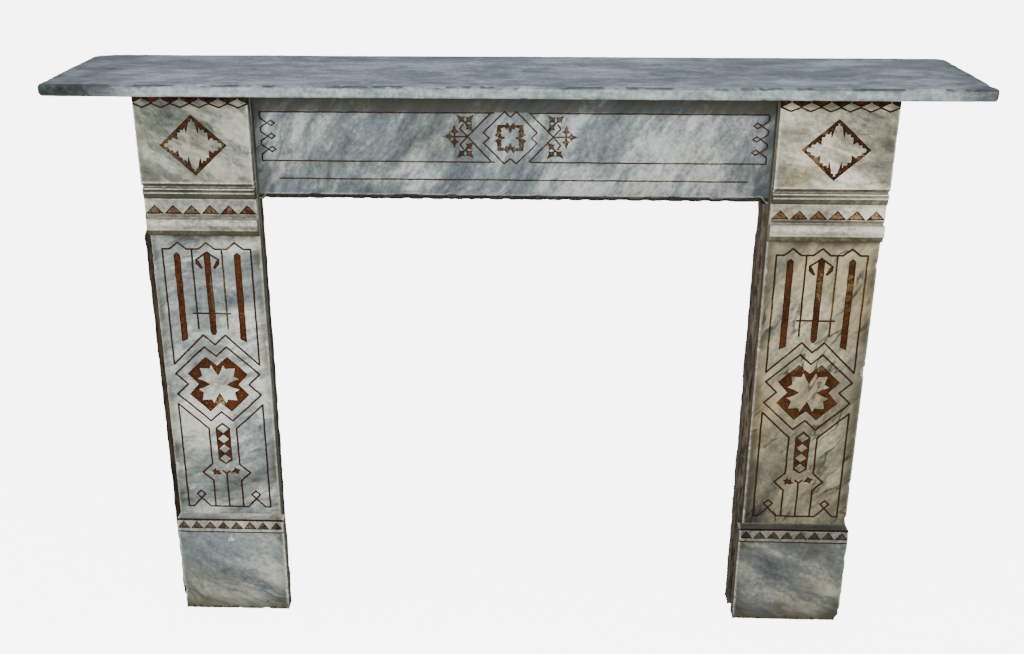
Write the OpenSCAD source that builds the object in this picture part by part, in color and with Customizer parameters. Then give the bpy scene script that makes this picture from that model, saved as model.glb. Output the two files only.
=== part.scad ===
// Chimneypiece in veined marble with incised ornament: a shelf, a frieze and two built-up legs.
// X runs along the shelf, -Y is the front, Z is up. The hearth is at Z = 0 and the shelf is centred.

/* [Shelf] */
// Length of the shelf
shelf_l = 1666; // [1500:1:2100]
// Depth of the shelf, front to back
shelf_d = 310; // [250:1:380]
// Thickness of the shelf
shelf_t = 22; // [16:1:40]
// Shelf projection in front of the capital blocks
shelf_overhang = 60; // [30:1:90]
// Rounding of the shelf's front and end arrises
shelf_ease = 3; // [1:0.5:6]
// Size of the break at the left back corner
break_left = 26; // [10:1:50]
// Size of the break at the right back corner
break_right = 16; // [8:1:40]

/* [Surround] */
// Height from the hearth to the underside of the shelf
surround_h = 1102; // [900:1:1350]
// Distance between the centre lines of the two legs
leg_spacing = 1164; // [960:1:1400]

/* [Frieze] */
// Height of the frieze slab
frieze_h = 215; // [170:1:260]
// Thickness of the frieze slab
frieze_t = 24; // [20:1:40]
// Chamfer along the frieze's lower arris
frieze_chamfer = 12.5; // [6:0.5:18]
// Length of the splayed stop at each end of that chamfer
chamfer_stop = 11; // [6:1:20]
// Plain frieze between the chamfer's stop and the leg
stop_margin = 2; // [1:1:10]

/* [Legs] */
// Width of the jamb slab and of the pieces on it
jamb_w = 210; // [180:1:260]
// Thickness of the jamb slab
jamb_t = 24; // [18:1:40]
// Chamfer on the jamb slab's front arrises
jamb_chamfer = 3; // [1:0.5:5]
// Height of the plinth slab
plinth_h = 216; // [170:1:270]
// Thickness of the plinth slab
plinth_t = 29; // [22:1:40]
// How far the plinth stands past the jamb on the side of the opening
plinth_step = 10; // [0:1:18]
// Thickness of the capital block
capital_t = 22; // [18:1:34]
// Height of the capital block, with its chamfer
capital_h = 183; // [150:1:220]
// Chamfer under the capital block
capital_chamfer = 12; // [6:1:16]

/* [Mouldings] */
// Height of the reeded moulding with its cove
reeding_h = 22; // [18:1:30]
// Number of reeds
reeds = 2; // [1:1:3]
// Height of one reed
reed_h = 4.5; // [3:0.5:5]
// Hollow between two reeds
reed_gap = 1.5; // [1:0.5:2]
// Height of the tooth band with its chamfer
tooth_band_h = 40; // [34:1:50]
// Thickness of the tooth band
tooth_band_t = 10; // [9:1:14]
// Chamfer under the tooth band
tooth_band_chamfer = 8; // [5:1:8]
// Height of the necking moulding with its cove
necking_h = 35; // [30:1:46]
// Projection of the necking's rounded nose from the jamb
necking_t = 18; // [14:1:22]
// Height of the cove under the necking
necking_cove = 14; // [8:1:18]

/* [Returns] */
// Thickness of a return slab, seen from the front
return_w = 20; // [15:1:30]
// Depth of a return slab behind the jamb
return_d = 34; // [24:1:60]
// How far the left leg's outer return stands out past its jamb
left_slip = 14; // [0:1:20]
// How far the right leg's inner return stands out past its jamb
right_slip = 12; // [0:1:20]
// How far the left leg's inner return is set in from its jamb's edge
left_set_in = 2; // [0:1:10]
// How far the right leg's outer return is set in from its jamb's edge
right_set_in = 4; // [0:1:10]

/* [Ornament] */
// Width of the incised lines
line_w = 2.4; // [1.5:0.1:4]
// Depth of the incised lines and sunk ground
cut = 1.5; // [0.5:0.1:3]
// Margin beside the lined panel on a jamb
panel_side = 20; // [14:1:30]
// Plain marble above the lined panel
panel_head = 27; // [20:1:40]
// Plain marble below the lined panel
panel_foot = 16; // [8:1:30]
// Number of teeth on a tooth band, and of diamonds on a capital
teeth = 6; // [4:1:8]
// Number of teeth on a plinth
plinth_teeth = 8; // [5:1:11]

/* [Hidden] */
$fn = 48;
past = 1;                                    // how far a cutter runs past the face that it cuts
leg_x = leg_spacing / 2;
shelf_front = -shelf_d / 2;
capital_face = shelf_front + shelf_overhang;
jamb_face = capital_face + capital_t;
jamb_back = jamb_face + jamb_t;
frieze_z = surround_h - frieze_h;
frieze_l = leg_spacing + jamb_w;
opening_w = leg_spacing - jamb_w;            // clear width between the jambs
capital_z = surround_h - capital_h;
reeding_z = capital_z - reeding_h;
tooth_band_z = reeding_z - tooth_band_h;
necking_z = tooth_band_z - necking_h;
plinth_w = jamb_w + plinth_step;

// The lined panel of a jamb is drawn on a sheet this wide and high, and stretched to its place
sheet_w = 170;
sheet_h = 563;
panel_z = plinth_h + panel_foot;
panel_h = necking_z - panel_head - panel_z;
panel_w = jamb_w - 2 * panel_side;

marble = [0.70, 0.73, 0.73];
marble_warm = [0.76, 0.76, 0.72];
rough = [0.33, 0.28, 0.23];

// ---- Drawing helpers ----

// A list of points turned over left to right
function flip(points) = [for (p = points) [-p[0], p[1]]];

// Points given for one quarter, from the top to the right, carried round all four quarters
function four_ways(points) = concat(points,
    [for (i = [len(points) - 1:-1:0]) [points[i][0], -points[i][1]]],
    [for (p = points) [-p[0], -p[1]]],
    [for (i = [len(points) - 1:-1:0]) [-points[i][0], points[i][1]]]);

// One straight stroke between two points
module stroke(a, b) {
    run = norm(b - a);
    translate(a) rotate(atan2(b[1] - a[1], b[0] - a[0]))
        translate([-line_w / 2, -line_w / 2]) square([run + line_w, line_w]);
}

// Strokes along a list of points
module path(points, closed = false) {
    last = closed ? len(points) - 1 : len(points) - 2;
    for (i = [0:last]) stroke(points[i], points[(i + 1) % len(points)]);
}

// The same strokes on both sides of the centre line
module both(points) {
    path(points);
    path(flip(points));
}

// Sinks a drawing, X across and Y up, into a face at y, by the depth of the cut
module sink(y) {
    translate([0, y + cut, 0]) rotate([90, 0, 0]) linear_extrude(cut + past) children();
}

// A profile in (Y, Z), carried along X over a width centred on x
module run_profile(x, w, points) {
    translate([x - w / 2, 0, 0]) rotate([90, 0, 90]) linear_extrude(w) polygon(points);
}

// A row of upright teeth, count of them over a width, standing on base
module tooth_row(w, count, base, height) {
    pitch = w / count;
    for (i = [0:count - 1]) translate([(i + 0.5) * pitch - w / 2, base])
        polygon([[-0.44 * pitch, 0], [0.44 * pitch, 0], [0, height]]);
}

// ---- Ornament of the jamb, drawn on the sheet ----

medallion_z = 279;                           // centre of the medallion above the sheet's foot
lozenge_step = 22.6;                         // spacing of the diamonds in the lozenge column

// One leaf of the medallion's cross: the upper right lobe, symmetric about its diagonal
lobe = [[4, 15], [9, 21], [11, 36], [16, 30], [20, 34], [25, 25], [34, 20], [30, 16], [36, 11], [21, 9], [15, 4]];

module jamb_lines() {
    peak = 13;                               // rise of the three points over the top line
    half = sheet_w / 2;
    // Head of the panel, its sides and the zigzag over the medallion
    path([[-half, sheet_h], [-71, sheet_h], [-55, sheet_h + peak], [-39, sheet_h], [-16, sheet_h],
        [0, sheet_h + peak], [16, sheet_h], [39, sheet_h], [55, sheet_h + peak], [71, sheet_h], [half, sheet_h]]);
    both([[half, sheet_h], [half, 322], [22, 385], [0, 365]]);
    both([[29, sheet_h], [29, 399]]);
    path([[-36, 431], [36, 431]]);
    both([[0, 557], [22, 541], [11, 525]]);
    // Frame of the medallion
    translate([0, medallion_z]) path(four_ways([[0, 61], [22, 81], [84, 22.5], [61, 0]]), closed = true);
    // Lower panel: sides, foot line with its two knots, waisted lines and central stem
    both([[half, 0], [half, 235], [28, 180], [28, 99], [49, 80], [29, 61], [29, 0]]);
    both([[half, 0], [75, 0], [48, 29], [57, 37], [66, 29], [39, 0], [0, 0]]);
    path([[0, 0], [0, 77]]);
    both([[0, 77], [7, 84]]);
}

module jamb_sunk_ground() {
    // Three bars
    for (x = [-58, 58]) polygon([[x - 6.5, 370], [x + 6.5, 376], [x + 6.5, 551], [x, 557], [x - 6.5, 551]]);
    polygon([[-6.5, 392], [-3, 385], [3, 385], [6.5, 392], [6.5, 551], [0, 557], [-6.5, 551]]);
    // Medallion ground round its leaf cross
    translate([0, medallion_z]) difference() {
        polygon(four_ways([[0, 41], [22, 60], [60, 22.5], [43, 0]]));
        union() {
            square(30, center = true);
            for (sx = [-1, 1], sz = [-1, 1]) scale([sx, sz]) polygon(concat([[0, 0]], lobe));
        }
    }
    // Lozenge column: a long hexagon that leaves four diamonds standing
    difference() {
        polygon([[0, 195], [15, 181], [14, 108], [0, 99], [-14, 108], [-15, 181]]);
        for (i = [0:3]) translate([0, 112 + i * lozenge_step])
            polygon([[0, 9.5], [11, 0], [0, -9.5], [-11, 0]]);
    }
}

// ---- Sub-parts ----

module shelf() {
    e = shelf_ease;
    half = shelf_l / 2;
    color(marble) intersection() {
        run_profile(0, shelf_l, [[shelf_front + e, surround_h], [shelf_d / 2, surround_h],
            [shelf_d / 2, surround_h + shelf_t], [shelf_front + e, surround_h + shelf_t],
            [shelf_front, surround_h + shelf_t - e], [shelf_front, surround_h + e]]);
        // Plan of the slab, with its front corners eased and its back corners broken away
        translate([0, 0, surround_h]) linear_extrude(shelf_t) polygon([
            [-half + e, shelf_front], [half - e, shelf_front], [half, shelf_front + e],
            [half, shelf_d / 2 - 1.4 * break_right], [half - 0.35 * break_right, shelf_d / 2 - 0.6 * break_right],
            [half - break_right, shelf_d / 2],
            [-half + 1.6 * break_left, shelf_d / 2], [-half + 0.5 * break_left, shelf_d / 2 - 0.35 * break_left],
            [-half, shelf_d / 2 - 1.2 * break_left], [-half, shelf_front + e]]);
    }
}

rosette_z = 121;                             // centre of the frieze's middle motif above its lower face

// Incised lines of the frieze, with Y measured from its lower face
module frieze_lines() {
    end = opening_w / 2 - 10;                // end of the lined frame
    // Frame of lines, broken by the centre motif
    both([[32, 168], [end, 168]]);
    both([[32, 76], [end, 76]]);
    path([[-opening_w / 2 + 41, 42], [opening_w / 2 - 41, 42]]);
    // Waved line with three knots at each end of the frame
    for (i = [0:2]) translate([0, 147.5 - 25 * i])
        both([[end, 20], [end, 9], [end - 20, -5], [end - 27, 0], [end - 20, 5], [end, -9]]);
    both([[end, 88.5], [end, 76]]);
    // Centre: an eight-pointed outline round the rosette
    translate([0, rosette_z]) {
        path(four_ways([[0, 39], [10.5, 49], [49.5, 10], [40, 0]]), closed = true);
        both([[34, 47], [79, 2], [95, -15]]);
        both([[34, -45], [79, 2], [95, 18]]);
        both([[79, 2], [106, 2]]);
    }
}

module frieze() {
    stop_x = opening_w / 2 - stop_margin;    // outer end of the chamfer, on the lower face
    color(marble) difference() {
        translate([-frieze_l / 2, jamb_back, frieze_z]) cube([frieze_l, frieze_t, frieze_h]);
        // Chamfer: the wedge below a 45 degree plane, kept to the splayed outline
        intersection() {
            translate([0, jamb_back + frieze_chamfer + past, frieze_z]) rotate([90, 0, 0])
                linear_extrude(frieze_chamfer + 2 * past)
                polygon([[-stop_x, -past], [stop_x, -past], [stop_x, 0], [stop_x - chamfer_stop, frieze_chamfer],
                    [-stop_x + chamfer_stop, frieze_chamfer], [-stop_x, 0]]);
            run_profile(0, frieze_l, [[jamb_back - past, frieze_z + frieze_chamfer + past],
                [jamb_back - past, frieze_z - past], [jamb_back + frieze_chamfer + past, frieze_z - past]]);
        }
        translate([0, 0, frieze_z]) sink(jamb_back) frieze_lines();
        // Rosette: a sunk square ring round a four-leaved cross
        translate([0, 0, frieze_z + rosette_z]) sink(jamb_back) difference() {
            polygon(four_ways([[0, 24], [13, 29], [29, 13], [24, 0]]));
            polygon(four_ways([[0, 9], [9, 19], [19, 9], [9, 0]]));
        }
    }
}

module jamb(side) {
    c = jamb_chamfer;
    x = side * leg_x;
    half = jamb_w / 2;
    color(marble_warm) difference() {
        linear_extrude(surround_h) polygon([[x - half, jamb_back], [x - half, jamb_face + c],
            [x - half + c, jamb_face], [x + half - c, jamb_face], [x + half, jamb_face + c], [x + half, jamb_back]]);
        translate([x, 0, panel_z]) sink(jamb_face) scale([panel_w / sheet_w, panel_h / sheet_h]) jamb_lines();
        translate([x, 0, panel_z]) sink(jamb_face) scale([panel_w / sheet_w, panel_h / sheet_h]) jamb_sunk_ground();
    }
}

module plinth(side) {
    x = side * (leg_x - plinth_step / 2);
    tooth_z = plinth_h - 19;                 // base of the teeth
    color(marble) difference() {
        translate([x - plinth_w / 2, jamb_face - plinth_t, 0]) cube([plinth_w, plinth_t, plinth_h]);
        translate([x, 0, 0]) sink(jamb_face - plinth_t) {
            tooth_row(plinth_w, plinth_teeth, tooth_z, 16);
            translate([-plinth_w / 2 - past, plinth_h - 29]) square([plinth_w + 2 * past, line_w]);
        }
    }
}

// Points round part of an ellipse in (Y, Z); 180 degrees is its front, 90 its top
function arc(y, z, ry, rz, from, to, steps = 8) =
    [for (i = [0:steps]) let (a = from + (to - from) * i / steps) [y + ry * cos(a), z + rz * sin(a)]];

// Rounded nose and a bead, over a cove that runs back to the jamb
module necking(side) {
    front = jamb_face - necking_t;           // crest of the nose
    top = necking_z + necking_h;
    fillet = 2;                              // square edge over the nose
    bead = 2.5;                              // radius of the bead
    bead_z = necking_z + necking_cove + bead;
    nose = (top - fillet - bead_z - bead) / 2;
    color(marble_warm) run_profile(side * leg_x, jamb_w, concat(
        [[jamb_face, necking_z], [jamb_face, top], [front + 1, top], [front + 1, top - fillet], [front + 3, top - fillet]],
        arc(front + 3, bead_z + bead + nose, 3, nose - 0.5, 110, 250),
        arc(front + 3, bead_z, bead, bead, 100, 260),
        arc(jamb_face, necking_z + necking_cove - 0.5, necking_t - 5, necking_cove - 1, 180, 265)));
}

module tooth_band(side) {
    top = tooth_band_z + tooth_band_h;
    bed = tooth_band_chamfer + 2;            // height of the sloping face under the band
    face = jamb_face - tooth_band_t;
    color(marble_warm) difference() {
        run_profile(side * leg_x, jamb_w, [[jamb_face, tooth_band_z], [jamb_face, top], [face, top],
            [face, tooth_band_z + bed], [face + tooth_band_chamfer, tooth_band_z]]);
        translate([side * leg_x, 0, 0]) sink(face) tooth_row(jamb_w, teeth, tooth_band_z + bed + 1, 16);
    }
}

// A stack of reeds over a cove that runs back to the tooth band
module reeding(side) {
    top = reeding_z + reeding_h;
    back = jamb_face - tooth_band_t;         // face of the band below
    neck = capital_face + 3 + reed_h / 2;    // line that the reeds spring from
    step = reed_h + reed_gap;
    foot = top - reeds * step + reed_gap;    // underside of the last reed
    color(marble_warm) run_profile(side * leg_x, jamb_w, concat(
        [[jamb_face, reeding_z], [jamb_face, top]],
        [for (r = [0:reeds - 1], p = arc(neck, top - r * step - reed_h / 2, reed_h / 2, reed_h / 2, 90, 270)) p],
        [for (p = arc(back, foot - 1, back - neck, foot - 1 - reeding_z, 180, 270, 6)) p]));
}

// Inner edge of the sunk diamond on a capital: a serrated leaf, one quarter
capital_leaf = [[0, 50], [5, 40], [10, 38], [10, 22], [15, 30], [25, 27], [27, 17], [27, 9], [38, 13], [42, 8], [55, 0]];

module capital(side) {
    c = capital_chamfer;
    middle = capital_z + 0.4536 * capital_h; // centre of the sunk diamond
    step = jamb_w / teeth;                   // spacing of the small diamonds
    row = capital_z + capital_h - 23;        // centre line of the small diamonds
    color(marble_warm) difference() {
        run_profile(side * leg_x, jamb_w, [[jamb_face, capital_z], [jamb_face, surround_h],
            [capital_face, surround_h], [capital_face, capital_z + c], [capital_face + c, capital_z]]);
        translate([side * leg_x, 0, 0]) sink(capital_face) {
            translate([0, middle]) difference() {
                polygon([[0, 56], [62, 0], [0, -56], [-62, 0]]);
                polygon(four_ways(capital_leaf));
            }
            for (i = [0:teeth - 1]) translate([(i + 0.5) * step - jamb_w / 2, row])
                path([[-step / 2, 0], [0, -7.5], [step / 2, 0]]);
            for (i = [1:teeth - 1]) translate([i * step - jamb_w / 2, row])
                polygon([[0, 0], [step / 2 - 1, 8], [1 - step / 2, 8]]);
        }
    }
}

// A rough slab behind the jamb; x is its exposed side, and dir points from there into the leg
module return_slab(x, dir) {
    color(rough) translate([min(x, x + dir * return_w), jamb_back, 0]) cube([return_w, return_d, frieze_z]);
}

shelf();
frieze();
jamb(-1);  // left_jamb
plinth(-1);  // left_plinth
necking(-1);  // left_necking
tooth_band(-1);  // left_tooth_band
reeding(-1);  // left_reeding
capital(-1);  // left_capital
return_slab(-leg_x - jamb_w / 2 - left_slip, 1);  // left_outer_return
return_slab(-leg_x + jamb_w / 2 - left_set_in, -1);  // left_inner_return
jamb(1);  // right_jamb
plinth(1);  // right_plinth
necking(1);  // right_necking
tooth_band(1);  // right_tooth_band
reeding(1);  // right_reeding
capital(1);  // right_capital
return_slab(leg_x + jamb_w / 2 - right_set_in, -1);  // right_outer_return
return_slab(leg_x - jamb_w / 2 - right_slip, 1);  // right_inner_return
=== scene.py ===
# %% [markdown]
# # A marble chimneypiece with incised ornament
# This lesson dresses a fireplace mantel: a shelf, a frieze and two built-up legs, all of
# blue-grey veined marble, with shallow cut lines and sunk grounds that keep an old brown fill.
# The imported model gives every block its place. Each block is then made again as a finer mesh,
# with the same size, whose arrises are worn and chipped and whose ornament is really cut in.

# %% Load the frame
import functools
import math

import bpy
import numpy as np
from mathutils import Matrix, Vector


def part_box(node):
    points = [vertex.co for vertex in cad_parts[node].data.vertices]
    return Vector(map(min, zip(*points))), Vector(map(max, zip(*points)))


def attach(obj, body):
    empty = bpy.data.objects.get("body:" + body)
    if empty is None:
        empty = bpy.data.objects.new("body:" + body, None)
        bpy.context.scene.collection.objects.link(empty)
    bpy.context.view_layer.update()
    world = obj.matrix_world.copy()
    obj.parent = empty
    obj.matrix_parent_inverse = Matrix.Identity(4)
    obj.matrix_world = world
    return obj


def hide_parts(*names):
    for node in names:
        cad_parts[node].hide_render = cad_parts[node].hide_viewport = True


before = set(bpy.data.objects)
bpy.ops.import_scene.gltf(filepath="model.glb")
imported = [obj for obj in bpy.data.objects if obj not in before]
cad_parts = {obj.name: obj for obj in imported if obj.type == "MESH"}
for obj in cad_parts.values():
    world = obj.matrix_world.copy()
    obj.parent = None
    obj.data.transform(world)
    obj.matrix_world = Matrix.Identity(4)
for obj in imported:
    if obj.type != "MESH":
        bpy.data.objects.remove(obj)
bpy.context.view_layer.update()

MM = 0.001                                   # shapes are worked out in millimetres

# %% [markdown]
# ## Where each block is
# Every size below starts from a block's own box, read from the frame, so that a change to the
# model is followed here. `place` gives a box in millimetres, as its lowest and highest corner.

# %% Boxes of the blocks
def place(node):
    """Lowest and highest corner of a block, in millimetres, cleared of rounding crumbs."""
    low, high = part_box(node)
    return np.round(np.array(low) / MM, 3), np.round(np.array(high) / MM, 3)


SIDES = ("left", "right")
jamb_face = place("left_jamb")[0][1]
print("jamb face at y =", round(float(jamb_face), 1), "mm")

# %% [markdown]
# ## Uneven stone
# Old marble is never quite flat or straight. A seeded field of soft bumps gives that unevenness.
# It could come from a noise texture, but here it has to move points, so it is a sum of plane
# waves in scattered directions. The same seed always gives the same stone.

# %% A soft random field
def waves(points, size, seed, octaves=3, stretch=(1, 1, 1)):
    """Soft noise between -1 and 1 at each point: the sine of the distance along nine scattered
    directions, summed; each octave is half as large and a little over half as strong."""
    draw = np.random.default_rng(seed)
    points = points / np.array(stretch, float)
    total = np.zeros(len(points))
    for octave in range(octaves):
        ways = draw.normal(size=(3, 9))
        ways /= np.linalg.norm(ways, axis=0)
        length = size / 2 ** octave * draw.uniform(0.7, 1.5, 9)
        phase = draw.uniform(0, 2 * np.pi, 9)
        total += np.sin(points @ ways * (2 * np.pi / length) + phase).sum(1) / (3 * 1.7 ** octave)
    return np.tanh(0.8 * total)


# %% [markdown]
# ## The skin of a block
# A block of stone is a box with a grid of lines over each face. The lines are close where
# something is carved and wide where nothing is. A modelled cube with subdivisions would put the
# same number of faces everywhere, so the grid lines are given instead. The back is one flat
# face, because nothing is carved there.

# %% Grid lines and box skins
def spans(*parts):
    """Grid lines along one axis. Each part is (start, end, step): the stretch from start to end
    is divided evenly, in steps as near as it can to the one given."""
    lines = [np.linspace(a, b, max(2, round(abs(b - a) / step) + 1)) for a, b, step in parts]
    return np.unique(np.round(np.concatenate(lines), 4))


def with_arrises(lines, rows=(0.7, 1.6, 3.0)):
    """The same lines with a few close ones beside both ends, so that a worn arris is round."""
    near = [lines[0] + r for r in rows] + [lines[-1] - r for r in rows]
    inner = lines[(lines > lines[0] + 1.3 * rows[-1]) & (lines < lines[-1] - 1.3 * rows[-1])]
    return np.unique(np.concatenate([lines[[0, -1]], near, inner]))


def box_skin(xs, ys, zs):
    """The skin of a box with grid lines at xs, ys and zs: five faces are grids of quads that share
    the points on their edges, and the back is left for one ring of points. Quads turn outwards."""
    lines = (xs, ys, zs)
    count = [len(line) for line in lines]

    def number(i, j, k):
        return (i * count[1] + j) * count[2] + k

    quads = []
    for axis, end in ((0, 0), (0, 1), (1, 0), (2, 0), (2, 1)):
        u, v = (axis + 1) % 3, (axis + 2) % 3
        a, b = np.meshgrid(np.arange(count[u] - 1), np.arange(count[v] - 1), indexing="ij")
        turn = ((0, 0), (1, 0), (1, 1), (0, 1)) if end else ((0, 1), (1, 1), (1, 0), (0, 0))
        corners = []
        for da, db in turn:
            index = [None, None, None]
            index[axis] = np.full(a.size, end * (count[axis] - 1))
            index[u] = a.ravel() + da
            index[v] = b.ravel() + db
            corners.append(number(*index))
        quads.append(np.stack(corners, 1))
    quads = np.concatenate(quads)
    used, quads = np.unique(quads, return_inverse=True)
    quads = quads.reshape(-1, 4)
    points = np.stack([xs[used // (count[1] * count[2])], ys[used // count[2] % count[1]],
                       zs[used % count[2]]], 1)
    # Ring of the back: up the low side, along the top, down the high side, along the foot
    i, k = np.arange(count[0]), np.arange(count[2])
    back = count[1] - 1
    ring = np.concatenate([number(0, back, k[:-1]), number(i[:-1], back, count[2] - 1),
                           number(count[0] - 1, back, k[:0:-1]), number(i[:0:-1], back, 0)])
    return points, quads, np.searchsorted(used, ring)


# %% [markdown]
# ## Worn arrises and chips
# Many years of knocks round every arris and break flakes from it. A Bevel modifier would
# round them all alike. Here each point near an arris is pulled to a smaller box and pushed out
# again by a radius that varies along the stone. A chip is a shallow bite by a large ball: a point
# inside the ball moves straight out to its skin. A chamfer sets the points of a face back.

# %% Easing and chipping
def ease(points, low, high, radius):
    """Rounds the arrises: the nearest point of the box shrunk by the radius, plus the radius along
    the line from there. On the open face that changes nothing."""
    radius = np.reshape(radius, (-1, 1))
    core = np.clip(points, low + radius, high - radius)
    out = points - core
    length = np.maximum(np.linalg.norm(out, axis=1, keepdims=True), 1e-9)
    return core + out / length * radius


def bite(points, centres, radii):
    """Moves each point that lies inside a ball straight out to the ball's skin, ball by ball."""
    for centre, radius in zip(centres, radii):
        near = np.flatnonzero(np.abs(points - centre).max(1) < radius)
        out = points[near] - centre
        length = np.linalg.norm(out, axis=1)
        inside = (length < radius) & (length > 1e-6)
        points[near[inside]] = centre + out[inside] / length[inside, None] * radius
    return points


def chip_arris(points, start, end, outward, count, depth, seed, spread=(2.0, 6.0)):
    """Chips scattered along the arris from start to end: each ball's centre stands off along the
    outward direction, turned a little, so that its bite is as deep as drawn. Few are deep."""
    draw = np.random.default_rng(seed)
    start, end, outward = (np.array(v, float) for v in (start, end, outward))
    along = draw.uniform(0, 1, (count, 1))
    deep = depth * (0.25 + draw.exponential(0.45, (count, 1))).clip(0, 2.2)
    radius = deep * draw.uniform(*spread, (count, 1))
    way = outward / np.linalg.norm(outward) + draw.normal(0, 0.22, (count, 3))
    way /= np.linalg.norm(way, axis=1, keepdims=True)
    centres = start + along * (end - start) + way * (radius - deep)
    return bite(points, centres, radius[:, 0])


def chip_both(points, low, high, reach, count, depth, seeds):
    """Chips down the two upright arrises of the front, over the reach (foot, head), each arris
    with draws of its own."""
    foot, head = reach
    for x, way, seed in zip((low[0], high[0]), ((-1, -1, 0), (1, -1, 0)), seeds):
        points = chip_arris(points, (x, low[1], foot), (x, low[1], head), way, count, depth, seed)
    return points


def set_back(points, low, high, missing):
    """Moves points back by what is missing at the front, and by less the nearer the back is."""
    lead = ((high[1] - points[:, 1]) / (high[1] - low[1])).clip(0, 1)
    points[:, 1] += missing * lead


# %% [markdown]
# ## Drawing the ornament
# The ornament is geometric: V-cut lines, and grounds sunk flat around leaves and diamonds. It is
# drawn as strokes and outlines, and what shapes the stone is the distance to them: negative
# inside a cut, nothing on its edge and positive on the plain face. A boolean cut would give
# sharp but lifeless edges and long thin faces.

# %% Strokes, grounds and the distance to them
REACH = 5.0                                  # distances are worked out this far from a cut


def flip(points):
    """The same points turned over left to right."""
    return [(-x, z) for x, z in points]


def lifted(points, up):
    """The same points moved up."""
    return [(x, z + up) for x, z in points]


def four_ways(points):
    """Points given for one quarter, from the top to the right, carried round all four."""
    back = points[::-1]
    loop = (list(points) + [(x, -z) for x, z in back] + [(-x, -z) for x, z in points]
            + [(-x, z) for x, z in back])
    return [p for p, last in zip(loop, loop[-1:] + loop[:-1]) if p != last]


def from_segment(x, z, a, b):
    """Nearest point of the segment from a to b, and the distance to it."""
    run = np.array(b, float) - a
    share = ((x - a[0]) * run[0] + (z - a[1]) * run[1]) / (run @ run)
    share = np.clip(share, 0, 1)
    qx, qz = a[0] + share * run[0], a[1] + share * run[1]
    return qx, qz, np.hypot(x - qx, z - qz)


class Drawing:
    """Cut ornament on a face, X across and Z up, in millimetres."""

    def __init__(self, line_w=2.7):
        self.half = line_w / 2
        self.strokes = []
        self.grounds = []

    def path(self, points, closed=False):
        """Strokes from each point to the next."""
        ends = points[1:] + points[:1] if closed else points[1:]
        self.strokes += [(a, b) for a, b in zip(points, ends)]

    def both(self, points):
        """The same strokes on both sides of the centre line."""
        self.path(points)
        self.path(flip(points))

    def ground(self, *loops):
        """A sunk ground. A loop inside another is left standing."""
        self.grounds.append([list(loop) for loop in loops])

    def both_grounds(self, loop):
        """The same sunk ground on both sides of the centre line."""
        self.ground(loop)
        self.ground(flip(loop))

    def moved(self, x, z, sx=1.0, sz=1.0):
        """The same drawing, stretched and then moved to a place on the face."""
        def shift(p):
            return (x + sx * p[0], z + sz * p[1])
        copy = Drawing(2 * self.half)
        copy.strokes = [(shift(a), shift(b)) for a, b in self.strokes]
        copy.grounds = [[[shift(p) for p in loop] for loop in loops] for loops in self.grounds]
        return copy

    def measure(self, x, z):
        """For each point: the signed distance to the nearest edge of a cut, the place of that edge,
        and 1 where the cut is a ground. Strokes give the distance to their middle less half the
        width. Grounds give the distance to their outline, with the sign of the even-odd rule."""
        level = np.full(x.shape, REACH)
        edge_x, edge_z = x.copy(), z.copy()
        flat = np.zeros(x.shape)

        def keep(where, value, ex, ez, is_ground):
            better = value < level[where]
            spot = where[better]
            level[spot], edge_x[spot], edge_z[spot] = value[better], ex[better], ez[better]
            flat[spot] = is_ground

        for a, b in self.strokes:
            where = self._near(x, z, [a, b])
            qx, qz, gap = from_segment(x[where], z[where], a, b)
            safe = np.maximum(gap, 1e-6)
            keep(where, gap - self.half, qx + (x[where] - qx) / safe * self.half,
                 qz + (z[where] - qz) / safe * self.half, 0)
        for loops in self.grounds:
            where = self._near(x, z, [p for loop in loops for p in loop])
            px, pz = x[where], z[where]
            best = np.full(px.shape, np.inf)
            ex, ez = px.copy(), pz.copy()
            inside = np.zeros(px.shape, bool)
            for loop in loops:
                for a, b in zip(loop, loop[1:] + loop[:1]):
                    qx, qz, gap = from_segment(px, pz, a, b)
                    nearer = gap < best
                    best = np.where(nearer, gap, best)
                    ex, ez = np.where(nearer, qx, ex), np.where(nearer, qz, ez)
                    if a[1] != b[1]:
                        across = a[0] + (pz - a[1]) / (b[1] - a[1]) * (b[0] - a[0])
                        inside ^= ((a[1] > pz) != (b[1] > pz)) & (px < across)
            keep(where, np.where(inside, -best, best), ex, ez, 1)
        return level, edge_x, edge_z, flat

    @staticmethod
    def _near(x, z, corners):
        """Numbers of the points within reach of these corners' box."""
        low, high = np.min(corners, 0) - REACH, np.max(corners, 0) + REACH
        return np.flatnonzero((x > low[0]) & (x < high[0]) & (z > low[1]) & (z < high[1]))


# %% [markdown]
# ## Cutting a face
# The grid is much like graph paper, and a slanting edge on it would come out as steps. So each
# point that is nearest to an edge is slid onto it, and each quad is split along the diagonal that
# follows the edge. A line is cut as a round-bottomed V, and a ground is a flat floor with a
# sloping side and small pits left by the point of the chisel.

# %% Cut a drawing into the front of a skin
CUT = 1.5                                    # depth of lines and grounds
FINE = 1.2                                   # grid step where a face is carved


def wobble(x, z, seed):
    """How far a hand-cut line strays from the drawing, across and up: soft waves."""
    flat = np.stack([x, np.zeros_like(x), z], 1)
    return 0.35 * waves(flat, 45, seed, 2), 0.35 * waves(flat, 45, seed + 1, 2)


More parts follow.
